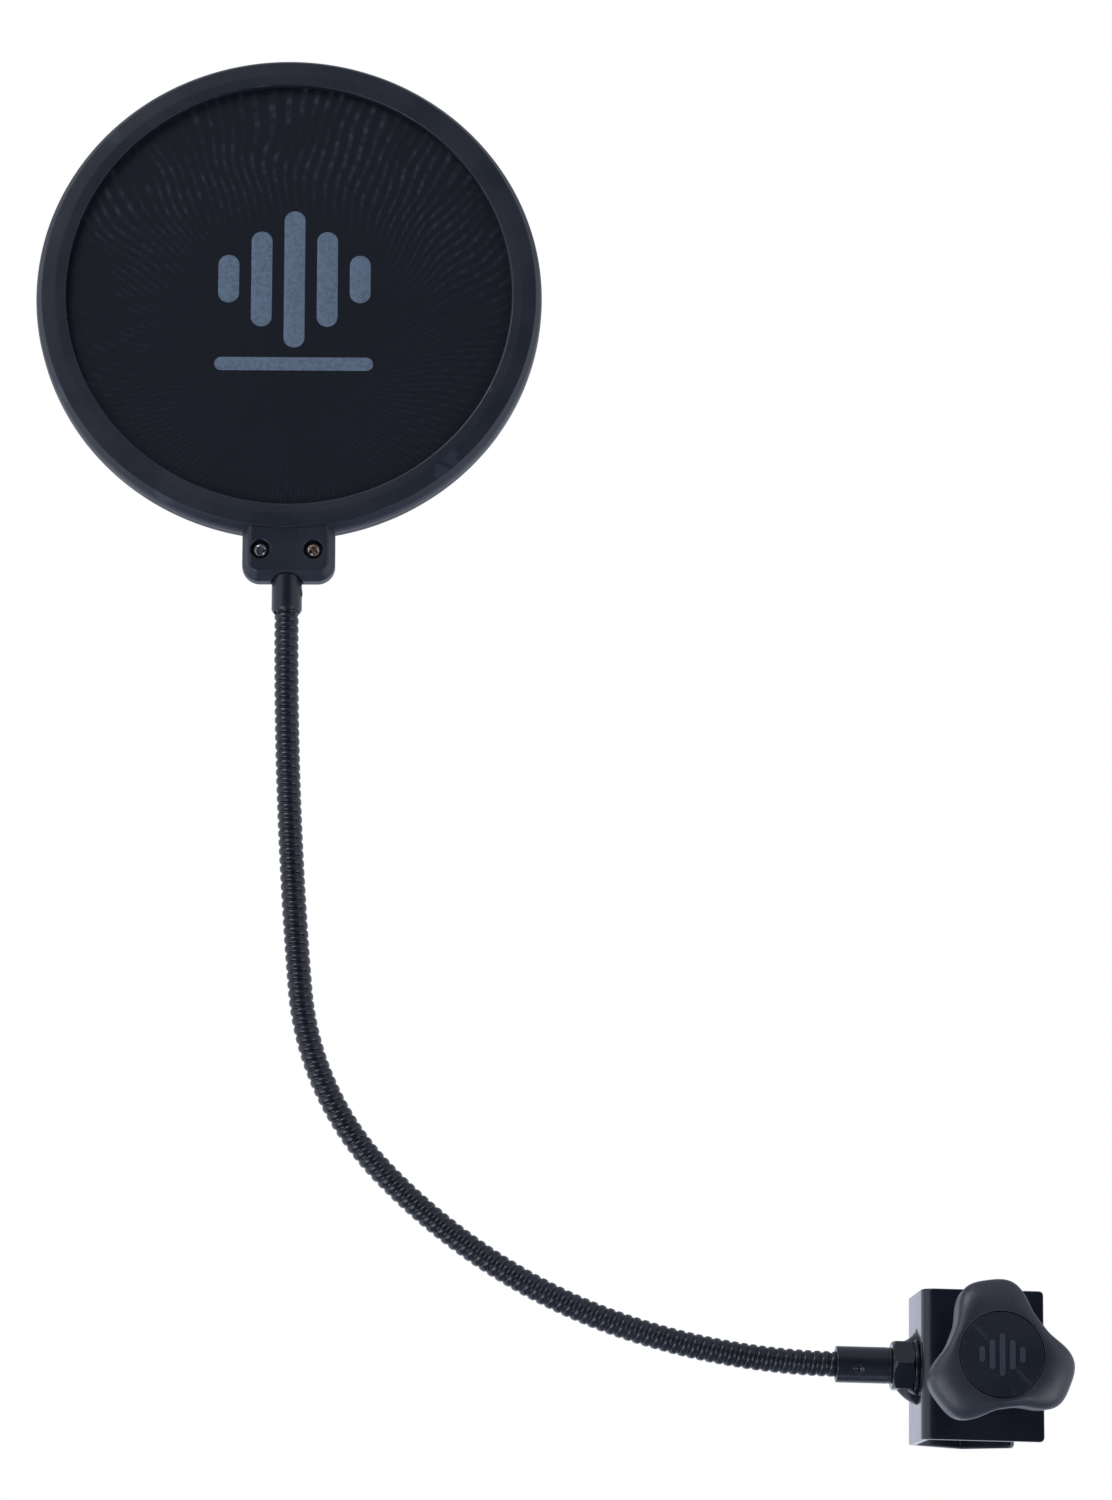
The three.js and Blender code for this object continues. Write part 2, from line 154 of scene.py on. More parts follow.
def softened(corners, steps=4, closed=False):
    """Points of a path through (x, y, radius) corners, each rounded to its radius."""
    path = []
    for i, (x, y, radius) in enumerate(corners):
        here = np.array((x, y), float)
        if radius == 0 or not closed and i in (0, len(corners) - 1):
            path.append(here)
            continue
        back = np.array(corners[i - 1][:2]) - here
        ahead = np.array(corners[(i + 1) % len(corners)][:2]) - here
        back /= np.linalg.norm(back)
        ahead /= np.linalg.norm(ahead)
        half = math.acos(np.clip(back @ ahead, -1, 1)) / 2
        bisector = (back + ahead) / np.linalg.norm(back + ahead)
        centre = here + bisector * radius / math.sin(half)
        first = here + back * radius / math.tan(half) - centre
        last = here + ahead * radius / math.tan(half) - centre
        sweep = math.atan2(first[0] * last[1] - first[1] * last[0], first @ last)
        for k in range(steps + 1):
            c, s = math.cos(sweep * k / steps), math.sin(sweep * k / steps)
            path.append(centre + (first[0] * c - first[1] * s, first[0] * s + first[1] * c))
    return np.array(path)


def around(sides):
    return np.arange(sides) * TURN / sides


def turned(profile, sides):
    """Rings of a solid of revolution about local Z, from (radius, height) points."""
    angle = around(sides)
    return np.array([
        np.stack([r * np.cos(angle), r * np.sin(angle), np.full(sides, h)], axis=1)
        for r, h in profile
    ])


def dense(profile, step):
    """The same path with its long stretches divided to about the step."""
    path = [profile[0]]
    for a, b in zip(profile[:-1], profile[1:]):
        parts = max(1, math.ceil(np.linalg.norm(b - a) / step))
        path += [a + (b - a) * k / parts for k in range(1, parts + 1)]
    return path


def skin(rings, wrap=False):
    """Points and faces over rings of points. The ends are capped unless the skin wraps round."""
    count, sides = rings.shape[:2]
    faces = []
    for i in range(count if wrap else count - 1):
        a, b = i * sides, (i + 1) % count * sides
        faces += [(a + j, a + (j + 1) % sides, b + (j + 1) % sides, b + j) for j in range(sides)]
    if not wrap:
        faces += [tuple(range(sides)), tuple(range((count - 1) * sides, count * sides))]
    return rings.reshape(-1, 3), faces


def hexagon(flats, sides):
    """Radius of a hexagon with slightly blunt corners, at each of the angles around it."""
    to_flat = (around(sides) + math.pi / 6) % (math.pi / 3) - math.pi / 6
    return np.minimum(flats / 2 / np.cos(to_flat), flats / math.sqrt(3) - 0.12)


def ring_of(radius, height, sides):
    """One ring of points with a radius for each angle."""
    angle = around(sides)
    radius = np.broadcast_to(radius, sides)
    return np.stack([radius * np.cos(angle), radius * np.sin(angle), np.full(sides, height)], axis=1)


def nut_rings(flats, bore, low, high, sides=180):
    """Hexagon nut with both faces chamfered to a circle, round a plain bore."""
    hexed = hexagon(flats, sides)
    chamfer = [(t, flats / 2 * 0.97 + t * math.tan(math.radians(60))) for t in np.linspace(0, 0.75, 7)]
    rings = [ring_of(bore, low + 0.3, sides), ring_of(bore + 0.3, low, sides)]
    rings += [ring_of(np.minimum(hexed, r), low + t, sides) for t, r in chamfer]
    rings += [ring_of(np.minimum(hexed, r), high - t, sides) for t, r in reversed(chamfer)]
    rings += [ring_of(bore + 0.3, high, sides), ring_of(bore, high - 0.3, sides)]
    return np.array(rings)


def thread_rings(radius, pitch, low, high, sides=64, step=0.125):
    """Rings of a screw thread that fades out over its first and last half turn."""
    angle = around(sides)
    depth = 0.55 * pitch
    rings = []
    for height in np.arange(low, high + step / 2, step):
        phase = (height / pitch - angle / TURN) % 1
        ridge = np.clip(np.abs(2 * phase - 1) * 1.25 - 0.1, 0, 1)
        fade = min(1, (height - low) / (pitch / 2), (high - height) / (pitch / 2))
        rings.append(ring_of(radius - depth * (1 - ridge) * max(fade, 0), height, sides))
    return np.array(rings)


def dented(rings, height, angle, size, depth):
    """The rings with a round punch mark, a bowl with a raised lip, pressed in towards the axis."""
    radius = np.linalg.norm(rings[..., :2], axis=2)
    off_angle = (np.arctan2(rings[..., 1], rings[..., 0]) - angle + math.pi) % TURN - math.pi
    away = np.hypot(off_angle * radius, rings[..., 2] - height) / size
    outer = radius > 0.9 * radius.max()
    bowl = np.clip(1 - away**2, 0, 1) ** 0.8
    lip = 0.22 * np.exp(-((away - 1.12) / 0.18) ** 2)
    scale = 1 - depth * (bowl - lip) * outer / np.maximum(radius, 1e-6)
    return rings * np.stack([scale, scale, np.ones_like(scale)], axis=2)


# Pieces


def mesh_object(name, points, faces, place=None):
    """Mesh object from points in millimetres, which place moves into the frame."""
    points = np.asarray(points, float)
    if place is not None:
        turn = np.array(place.to_3x3())
        points = points @ turn.T + np.array(place.translation)
    mesh = bpy.data.meshes.new(name)
    mesh.from_pydata((points * MM).tolist(), [], faces)
    work = bmesh.new()
    work.from_mesh(mesh)
    bmesh.ops.recalc_face_normals(work, faces=work.faces)
    work.to_mesh(mesh)
    work.free()
    thing = bpy.data.objects.new(name, mesh)
    bpy.context.scene.collection.objects.link(thing)
    return thing


def settle(thing):
    """Applies the object's modifiers to its mesh."""
    evaluated = thing.evaluated_get(bpy.context.evaluated_depsgraph_get())
    mesh = bpy.data.meshes.new_from_object(evaluated)
    thing.modifiers.clear()
    thing.data = mesh


def combined(thing, operation, *tools):
    """Joins the tools to the thing or cuts them from it, and removes them."""
    for tool in tools:
        step = thing.modifiers.new(operation, "BOOLEAN")
        step.operation = operation
        step.solver = "EXACT"
        step.object = tool
    settle(thing)
    for tool in tools:
        bpy.data.objects.remove(tool)
    return thing


def dressed(thing, material, sharp=35, even=True):
    """Gives a piece its material and smooth shading broken at sharp edges."""
    thing.data.materials.clear()
    thing.data.materials.append(material)
    thing.data.shade_smooth()
    thing.data.set_sharp_from_angle(angle=math.radians(sharp))
    if even:
        normals = thing.modifiers.new("even_normals", "WEIGHTED_NORMAL")
        normals.keep_sharp = True
    return thing


def onto(thing, body, *nodes):
    """Makes a piece ride on a body, in place of CAD nodes if any are named."""
    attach(thing, body)
    if nodes:
        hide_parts(*nodes)
    return thing


# Materials


class Nodes:
    """Short way to write the node tree of a material, or of the world if its tree is given."""

    def __init__(self, name, tree=None):
        self.tree = tree
        if tree is None:
            self.material = bpy.data.materials.new(name)
            self.material.use_nodes = True
            self.tree = self.material.node_tree
            self.shader = self.tree.nodes["Principled BSDF"]
        self.place = self.add("ShaderNodeTexCoord").outputs["Object"]

    def add(self, kind, **values):
        """A node. Keyword values whose names start with a capital are its input sockets."""
        node = self.tree.nodes.new(kind)
        for key, value in values.items():
            if key[0].isupper():
                self.feed(node.inputs[key.replace("_", " ")], value)
            else:
                setattr(node, key, value)
        return node

    def feed(self, socket, value):
        if isinstance(value, bpy.types.NodeSocket):
            self.tree.links.new(value, socket)
        else:
            socket.default_value = value

    def math(self, operation, *values):
        node = self.add("ShaderNodeMath", operation=operation)
        for socket, value in zip(node.inputs, values):
            self.feed(socket, value)
        return node.outputs[0]

    def noise(self, size, detail=2, roughness=0.5, where=None):
        """Noise from 0 to 1 with blotches of about the size, in metres."""
        node = self.add("ShaderNodeTexNoise", Vector=where or self.place, Scale=1 / size,
                        Detail=detail, Roughness=roughness)
        return node.outputs["Fac"]

    def spread(self, value, low, high, from_low=0.3, from_high=0.7):
        """The value's middle range stretched to low..high."""
        node = self.add("ShaderNodeMapRange", Value=value, interpolation_type="SMOOTHSTEP")
        limits = {"From Min": from_low, "From Max": from_high, "To Min": low, "To Max": high}
        for key, number in limits.items():
            node.inputs[key].default_value = number
        return node.outputs["Result"]

    def mix(self, factor, first, second):
        node = self.add("ShaderNodeMix", data_type="RGBA")
        self.feed(node.inputs["Factor"], factor)
        for key, value in (("A", first), ("B", second)):
            socket = next(s for s in node.inputs if s.name == key and s.type == "RGBA")
            self.feed(socket, value if isinstance(value, bpy.types.NodeSocket) else (*value, 1))
        return next(s for s in node.outputs if s.type == "RGBA")

    def bump(self, height, distance, strength=1.0):
        node = self.add("ShaderNodeBump", Height=height, Strength=strength, Distance=distance)
        self.tree.links.new(node.outputs["Normal"], self.shader.inputs["Normal"])

    def finish(self, color, roughness, **constants):
        """Links colour and roughness to the shader and sets its other sockets."""
        self.feed(self.shader.inputs["Base Color"], color)
        self.feed(self.shader.inputs["Roughness"], roughness)
        for key, value in constants.items():
            self.shader.inputs[key.replace("_", " ")].default_value = value
        return self.material


def moulded_plastic(name, dark, light, roughness, grain, depth, gloss=0.5):
    """Textured moulding: fine grain, faint flow blotches, and paler edges that are partly rubbed wear and
    partly a painted highlight, such as the bright line on the hoop's inner lip.
    """
    nodes = Nodes(name)
    fine = nodes.noise(grain, detail=3, roughness=0.65)
    blotch = nodes.noise(0.02, detail=4)
    # Painted highlight: this mask pales convex edges, partly as rubbed wear and partly as light caught on
    # edges such as the hoop's inner lip.
    edge = nodes.spread(nodes.add("ShaderNodeNewGeometry").outputs["Pointiness"], 0, 0.7, 0.515, 0.58)
    body = nodes.mix(nodes.spread(blotch, 0, 1), dark, light)
    speckled = nodes.mix(nodes.spread(fine, 0, 0.4), body, tuple(1.7 * c for c in light))
    worn = nodes.mix(edge, speckled, tuple(2.5 * c for c in light))
    nodes.bump(fine, depth)
    return nodes.finish(worn, nodes.spread(blotch, roughness - 0.05, roughness + 0.06),
                        Specular_IOR_Level=gloss)


def gloss_paint(name, color, roughness, coat):
    """Black lacquer on steel with faint orange peel, dust and paler edges."""
    nodes = Nodes(name)
    peel = nodes.noise(0.0016, detail=1)
    dust = nodes.spread(nodes.noise(0.0006, detail=2), 0, 0.25, 0.66, 0.8)
    cloud = nodes.noise(0.012, detail=3)
    edge = nodes.spread(nodes.add("ShaderNodeNewGeometry").outputs["Pointiness"], 0, 0.25, 0.53, 0.62)
    body = nodes.mix(nodes.spread(cloud, 0, 1), color, tuple(1.35 * c for c in color))
    dusty = nodes.mix(dust, body, tuple(4 * c for c in color))
    worn = nodes.mix(edge, dusty, tuple(5 * c for c in color))
    nodes.bump(peel, 0.000004, 0.5)
    return nodes.finish(worn, nodes.spread(cloud, roughness, roughness + 0.06),
                        Coat_Weight=coat, Coat_Roughness=0.06)


def plated_steel(name, color, roughness, streak):
    """Zinc-plated metal with fine turning streaks and cloudy brightness."""
    nodes = Nodes(name)
    stretched = nodes.add("ShaderNodeMapping", Vector=nodes.place, Scale=streak).outputs[0]
    lines = nodes.noise(0.0008, detail=3, where=stretched)
    cloud = nodes.noise(0.004, detail=3)
    body = nodes.mix(nodes.spread(cloud, 0, 1), tuple(0.62 * c for c in color), color)
    nodes.bump(lines, 0.00002, 0.6)
    return nodes.finish(body, nodes.spread(lines, roughness - 0.06, roughness + 0.12), Metallic=1.0)


def rubber(name):
    """Dull black rubber with a fine grain."""
    nodes = Nodes(name)
    fine = nodes.noise(0.0004, detail=4, roughness=0.7)
    body = nodes.mix(nodes.spread(fine, 0, 1), (0.012, 0.012, 0.013), (0.026, 0.026, 0.027))
    nodes.bump(fine, 0.00005)
    return nodes.finish(body, nodes.spread(fine, 0.75, 0.92))


THREAD_PITCH = 0.00042


def weave(nodes):
    """Height of a plain weave of round threads along X and Z, and the position split into its axes."""
    split = nodes.add("ShaderNodeSeparateXYZ", Vector=nodes.place)
    across = nodes.math("MULTIPLY", split.outputs["X"], math.pi / THREAD_PITCH)
    up = nodes.math("MULTIPLY", split.outputs["Z"], math.pi / THREAD_PITCH)
    warp = nodes.math("ABSOLUTE", nodes.math("SINE", across))
    weft = nodes.math("ABSOLUTE", nodes.math("SINE", up))
    over = nodes.math("MULTIPLY", nodes.math("COSINE", across), nodes.math("COSINE", up))
    threads = nodes.math("MAXIMUM", warp, weft)
    return nodes.math("MULTIPLY_ADD", over, 0.25, threads), split


def painted_moire_light(nodes, split):
    """Painted moiré light: faint fans of short dashes where two layers of the weave drift in and out of step,
    stronger away from the centre and towards the top.
    """
    x = nodes.math("SUBTRACT", split.outputs["X"], HOOP_CENTRE[0] * MM)
    z = nodes.math("SUBTRACT", split.outputs["Z"], HOOP_CENTRE[2] * MM)
    radius = nodes.math("SQRT", nodes.math("ADD", nodes.math("MULTIPLY", x, x), nodes.math("MULTIPLY", z, z)))
    angle = nodes.math("ARCTAN2", x, nodes.math("ADD", z, 0.03))
    drift = nodes.noise(0.04, detail=1)
    other = nodes.noise(0.016, detail=2)
    fan_count, swell_count, dash_length, swell_length = 150, 61, 0.0034, 0.0078
    fans = nodes.math("MULTIPLY_ADD", angle, fan_count, nodes.math("MULTIPLY", drift, 38))
    dashes = nodes.math("MULTIPLY_ADD", radius, TURN / dash_length, nodes.math("MULTIPLY", drift, 50))
    outwards = nodes.math("MULTIPLY", radius, TURN / swell_length)
    swells = nodes.math("MULTIPLY_ADD", angle, swell_count, outwards)
    fan = nodes.spread(nodes.math("SINE", fans), 0, 1, -0.2, 1.0)
    dash = nodes.spread(nodes.math("SINE", dashes), 0.45, 1, -0.7, 0.9)
    swell = nodes.spread(nodes.math("SINE", swells), 0.35, 1, -1, 1)
    streaks = nodes.math("MULTIPLY", nodes.math("MULTIPLY", fan, dash), swell)
    top = nodes.spread(z, 0.2, 0.8, -0.01, 0.05)
    rim = nodes.spread(radius, 0, 1, 0.018, 0.055)
    patches = nodes.math("MULTIPLY", rim, nodes.spread(other, 0.1, 1, 0.35, 0.6))
    return nodes.math("MULTIPLY", nodes.math("MULTIPLY", streaks, patches), top)


def screen_cloth(name, hole, thread, streak):
    """Fine black nylon mesh. Painted moiré light: the painted streaks lighten the threads, not the holes."""
    nodes = Nodes(name)
    height, split = weave(nodes)
    threads = nodes.spread(height, 0, 1, 0.45, 1.0)
    body = nodes.mix(threads, hole, thread)
    # Painted light: the moiré streaks lighten the thread colour.
    lit = nodes.mix(painted_moire_light(nodes, split), body, streak)
    nodes.bump(height, 0.00006, 0.6)
    return nodes.finish(lit, 0.72, Sheen_Weight=0.03, Specular_IOR_Level=0.2)


def screen_ink(name):
    """Slate print on the mesh, thinner over the holes of the weave."""
    nodes = Nodes(name)
    height, _ = weave(nodes)
    worn = nodes.spread(nodes.noise(0.0011, detail=3), 0.72, 1, 0.35, 0.6)
    cover = nodes.math("MULTIPLY", nodes.spread(height, 0.55, 1, 0.5, 1.0), worn)
    body = nodes.mix(cover, (0.028, 0.037, 0.052), (0.165, 0.225, 0.305))
    nodes.bump(height, 0.00006, 0.6)
    return nodes.finish(body, 0.6, Specular_IOR_Level=0.3)


SHELL = moulded_plastic("shell_moulding", (0.0085, 0.011, 0.019), (0.0115, 0.0145, 0.024),
                        roughness=0.42, grain=0.0005, depth=0.00002)
KNOB = moulded_plastic("knob_moulding", (0.011, 0.0135, 0.021), (0.015, 0.018, 0.0275),
                       roughness=0.4, grain=0.0007, depth=0.00006, gloss=0.8)
CAP = moulded_plastic("cap_moulding", (0.0068, 0.0088, 0.0145), (0.0092, 0.0117, 0.0185),
                      roughness=0.38, grain=0.0005, depth=0.00002)
PAINT = gloss_paint("clamp_paint", (0.0075, 0.009, 0.014), 0.15, 0.3)
NECK = gloss_paint("neck_lacquer", (0.009, 0.011, 0.0165), 0.24, 0.12)
STEEL = plated_steel("zinc_steel", (0.62, 0.61, 0.6), 0.3, (1, 0.1, 1))
BRIGHT = plated_steel("screw_steel", (0.6, 0.58, 0.56), 0.24, (1, 1, 1))
BRONZE = plated_steel("screw_steel_warm", (0.6, 0.47, 0.4), 0.26, (1, 1, 1))
RUBBER = rubber("pad_rubber")
# The last colour is the painted moiré light on the threads.
CLOTH = screen_cloth("screen_nylon", (0.0028, 0.0038, 0.0072), (0.008, 0.0102, 0.0175), (0.042, 0.048, 0.064))
INK = screen_ink("screen_print")


# Hoop and tab


def hoop_shell(side):
    """One half of the hoop with its half of the tab. The front half has side -1."""
    profile = softened([
        (OPENING_RADIUS, FACE - FLANGE, 0.2),
        (OPENING_RADIUS, FACE - 0.2, 0.75),
        (OPENING_RADIUS + 3.4, FACE, 9),
        (HOOP_RADIUS - 2.0, FACE - 0.1, 0.5),
        (HOOP_RADIUS - 0.45, FACE - 2.6, 3),
        (HOOP_RADIUS, FACE - 4.2, 2),
        (HOOP_RADIUS, SEAM, 0.18),
        (HOOP_RADIUS - WALL, SEAM, 0),
        (HOOP_RADIUS - WALL, FACE - FLANGE, 0.3),
    ], steps=6, closed=True)
    rings = turned(profile, 288)
    points, faces = skin(rings, wrap=True)
    points = np.stack([points[:, 0], side * points[:, 2], points[:, 1]], axis=1)
    shell = mesh_object(("front" if side < 0 else "rear") + "_shell", points, faces, HOOP)

    half = tab_half(side)
    channel = cylinder(HOOP_RADIUS - WALL + 0.15, FACE - FLANGE + 0.1, 144)
    combined(half, "DIFFERENCE", channel)
    combined(shell, "UNION", half)
    tools = [ferrule_channel()]
    if side < 0:
        tools += [screw_recess(x) for x in (-TAB_SCREW_X, TAB_SCREW_X)]
    return combined(shell, "DIFFERENCE", *tools)


def tab_half(side):
    """Half of the tab's thickness: a rounded outline with a slanted, softly creased border."""
    rings = []
    border = softened([
        (0, SEAM, 0),
        (0, TAB_FACE - TAB_DRAFT, 2),
        (TAB_EDGE, TAB_FACE, 1.6),
        (TAB_EDGE + 1, TAB_FACE, 0),
    ], steps=5)
    for inset, depth in border:
        outline = softened([
            (TAB_HALF_WIDTH - inset, TAB_TOP, 0),
            (TAB_HALF_WIDTH - inset, TAB_BOTTOM + inset, TAB_CORNER - inset),
            (inset - TAB_HALF_WIDTH, TAB_BOTTOM + inset, TAB_CORNER - inset),
            (inset - TAB_HALF_WIDTH, TAB_TOP, 0),
        ], steps=12)
        rings.append(np.stack([outline[:, 0], np.full(len(outline), side * depth), outline[:, 1]], axis=1))
    return mesh_object("tab", *skin(np.array(rings)), HOOP @ Matrix.Translation((TAB_SHIFT, 0, 0)))


def cylinder(radius, half_length, sides):
    """Disc about the hoop's axis, as a cutting tool."""
    rings = turned([(radius, -half_length), (radius, half_length)], sides)
    return mesh_object("disc", *skin(rings), HOOP @ TO_FRONT)


def ferrule_channel():
    """Clearance for the neck's upper ferrule, flared a little at its mouth."""
    profile = softened([
        (FERRULE_COLLAR_RADIUS + 0.8, -4, 0),
        (FERRULE_COLLAR_RADIUS + 0.45, 10.6, 0),
        (FERRULE_COLLAR_RADIUS + 0.45, 11.7, 0),
        (3.5, 11.7, 0),
        (3.5, 15, 0),
        (4.85, 15, 0),
        (4.85, 17.4, 0),
    ])
    place = HOOP @ Matrix.Translation((0, 0, FERRULE_MOUTH_Z))
    return mesh_object("channel", *skin(turned(profile, 64)), place)


def screw_recess(x):
    """Round well for a tab screw with a softened mouth, and the hole below it."""
    profile = softened([
        (3.4, -1, 0),
        (3.4, 0.1, 0),
        (3.1, 0.35, 0),
        (3.05, 2.4, 0),
        (1.45, 2.4, 0),
        (1.45, 9, 0),
    ])
    place = HOOP @ Matrix.Translation((x, -TAB_FACE, TAB_SCREW_Z)) @ TO_BACK
    return mesh_object("recess", *skin(turned(profile, 48)), place)


def screen(side):
    """Stretched cloth disc with slight tension ripples near its clamped rim."""
    angle = around(240)
    radii = SCREEN_RADIUS * np.linspace(0.02, 1, 44) ** 0.8
    layers = []
    for offset in (-SCREEN_THICKNESS / 2, SCREEN_THICKNESS / 2):
        layer = []
        for r in radii:
            pull = 0.07 * (r / SCREEN_RADIUS) ** 6 * np.sin(36 * angle + 2 * np.sin(5 * angle + side))
            y = side * SCREEN_DEPTH + offset + pull * (r < 0.93 * SCREEN_RADIUS)
            layer.append(np.stack([r * np.cos(angle), y, r * np.sin(angle)], axis=1))
        layers.append(np.array(layer))
    rings = np.concatenate([layers[0], layers[1][::-1]])
    name = "front_mesh" if side < 0 else "rear_mesh"
    cloth = mesh_object(name, *skin(rings), HOOP)
    dressed(cloth, CLOTH, sharp=60, even=False)
    onto(cloth, "head", "front_screen" if side < 0 else "rear_screen")
    return cloth


INK_THICKNESS = 0.06
EMBLEM_HEIGHTS = (16, 32, 46, 32, 16)
EMBLEM_WIDTH = 6.6
EMBLEM_PITCH = 10.4
EMBLEM_X = 1.5
EMBLEM_Z = 5
UNDERLINE_LENGTH = 50
UNDERLINE_WIDTH = 4.4
UNDERLINE_Z = -23.5


def level_bars(name, heights, width, pitch, thickness, place):
    """Row of upright round-ended bars of the given heights, on the plane y = 0."""
    points, faces = [], []
    half, corner = width / 2, width / 2.02
    for i, height in enumerate(heights):
        x = (i - (len(heights) - 1) / 2) * pitch
        outline = softened([
            (x - half, -height / 2, corner),
            (x + half, -height / 2, corner),
            (x + half, height / 2, corner),
            (x - half, height / 2, corner),
        ], steps=8, closed=True)
        centre = np.array((x, 0))
        rings = []
        for y, shrink in ((thickness, 1), (-0.6 * thickness, 1), (-thickness, 0.985)):
            flat = centre + (outline - centre) * shrink
            rings.append(np.stack([flat[:, 0], np.full(len(flat), y), flat[:, 1]], axis=1))
        bar_points, bar_faces = skin(np.array(rings))
        faces += [tuple(len(points) + j for j in face) for face in bar_faces]
        points += bar_points.tolist()
    return mesh_object(name, points, faces, place)


def spacer():
    """Ring that holds the two screens apart. Its inner wall is hidden between them."""
    half = SCREEN_DEPTH - SCREEN_THICKNESS / 2 - 0.25
    outer, inner = SCREEN_RADIUS, SCREEN_RADIUS - 5.9
    profile = softened([
        (inner, -half, 0.3), (outer, -half, 0.3), (outer, half, 0.3), (inner, half, 0.3),
    ], steps=2, closed=True)
    thing = mesh_object("spacer_ring", *skin(turned(profile, 144), wrap=True), HOOP @ TO_FRONT)
    return onto(dressed(thing, SHELL), "head", "screen_spacer")


def tab_screw(name, x, material, twist, node):
    """Pan-head screw with a cross recess, sunk in its well."""
    profile = softened([
        (0.15, 0, 0),
        (1.5, 0.06, 1.5),
        (2.25, 0.75, 0.5),
        (2.3, 1.45, 0.2),
        (1.35, 1.55, 0),
        (1.3, 8.2, 0.3),
        (0.2, 9.2, 0),
    ])
    spin = Matrix.Rotation(twist, 4, "Y")
    place = HOOP @ Matrix.Translation((x, TAB_SCREW_DEPTH - FACE, TAB_SCREW_Z)) @ spin @ TO_BACK
    screw = mesh_object(name, *skin(turned(profile, 48)), place)
    combined(screw, "DIFFERENCE", cross_blade(place, 0), cross_blade(place, math.pi / 2))
    return onto(dressed(screw, material, sharp=30), "head", node)


def cross_blade(place, angle):
    """One blade of a cross recess, narrowing with depth."""
    rings = []
    for depth, long, thick in ((-0.3, 2.0, 0.6), (0.25, 1.85, 0.54), (1.5, 0.7, 0.25)):
        corners = [(-long, -thick), (long, -thick), (long, thick), (-long, thick)]
        rings.append([(x, y, depth) for x, y in corners])
    blade = Matrix.Rotation(angle, 4, "Z")
    return mesh_object("blade", *skin(np.array(rings)), place @ blade)


def hoop_pieces():
    """Everything on the head but the ferrule: shells, spacer, printed screens, screws and a mark."""
    for side, node in ((-1, "front_ring"), (1, "rear_ring")):
        onto(dressed(hoop_shell(side), SHELL, sharp=32), "head", node)
    spacer()
    front, rear = screen(-1), screen(1)
    front_y = -SCREEN_DEPTH - SCREEN_THICKNESS / 2
    emblem = level_bars("screen_emblem", EMBLEM_HEIGHTS, EMBLEM_WIDTH, EMBLEM_PITCH, INK_THICKNESS,
                        HOOP @ Matrix.Translation((EMBLEM_X, front_y, EMBLEM_Z)))
    underline = level_bars("screen_underline", (UNDERLINE_LENGTH,), UNDERLINE_WIDTH, 0, INK_THICKNESS,
                           HOOP @ Matrix.Translation((EMBLEM_X, front_y, UNDERLINE_Z)) @ ALONG_X)
    for mark in (emblem, underline):
        onto(dressed(mark, INK, even=False), "head")
    tab_screw("tab_screw_head_left", -TAB_SCREW_X, BRIGHT, 0.35, "tab_screw_left")
    tab_screw("tab_screw_head_right", TAB_SCREW_X, BRONZE, 0.8, "tab_screw_right")
    ejector_mark()


def ejector_mark():
    """Faint round witness mark that an ejector pin leaves in the tab's face."""
    profile = softened([(1.0, 0.1, 0), (0.95, -0.03, 0.02), (0.1, -0.05, 0)])
    place = HOOP @ Matrix.Translation((4.6, -TAB_FACE, -79.6)) @ TO_BACK
    mark = mesh_object("ejector_mark", *skin(turned(profile, 32)), place)
    return onto(dressed(mark, SHELL), "head")


# Gooseneck


NOMINAL_PITCH = 2.75
COIL_PITCH = NECK_LENGTH / round(NECK_LENGTH / NOMINAL_PITCH)
WIRE_HEIGHT = 0.85
WIRE_HALF_WIDTH = 1.18
STEPS_PER_TURN = 36
FERRULE_OVERLAP = 3


def round_wire():
    """Section of the spring wire as (along, outwards) offsets from the neck's middle line."""
    centre = NECK_RADIUS - WIRE_HEIGHT
    squareness = 0.78
    outline = [
        (math.copysign(abs(math.cos(a)) ** squareness, math.cos(a)),
         math.copysign(abs(math.sin(a)) ** squareness, math.sin(a)))
        for a in around(16)
    ]
    return [(WIRE_HALF_WIDTH * c, centre + WIRE_HEIGHT * s) for c, s in outline]


def wedge_wire():
    """Section of the triangular wire that fills the groove between the turns."""
    outline = softened([(-0.3, 3.3, 0.1), (0, 2.4, 0.08), (0.3, 3.3, 0.1)], steps=3, closed=True)
    return [(a + COIL_PITCH / 2, r) for a, r in outline]


def coil(section, low, high):
    """Points and faces of a wire of that section wound round the neck from low to high."""
    s = np.linspace(low, high, max(2, round((high - low) / COIL_PITCH * STEPS_PER_TURN)))
    angle = -TURN * s / COIL_PITCH
    rings = []
    for along, outwards in section:
        x, z, heading = neck_at(s + along)
        up = outwards * np.cos(angle)
        rings.append(np.stack([
            x + up * np.sin(heading),
            NECK_START[1] + outwards * np.sin(angle),
            z + up * np.cos(heading),
        ], axis=1))
    return skin(np.array(rings).transpose(1, 0, 2))


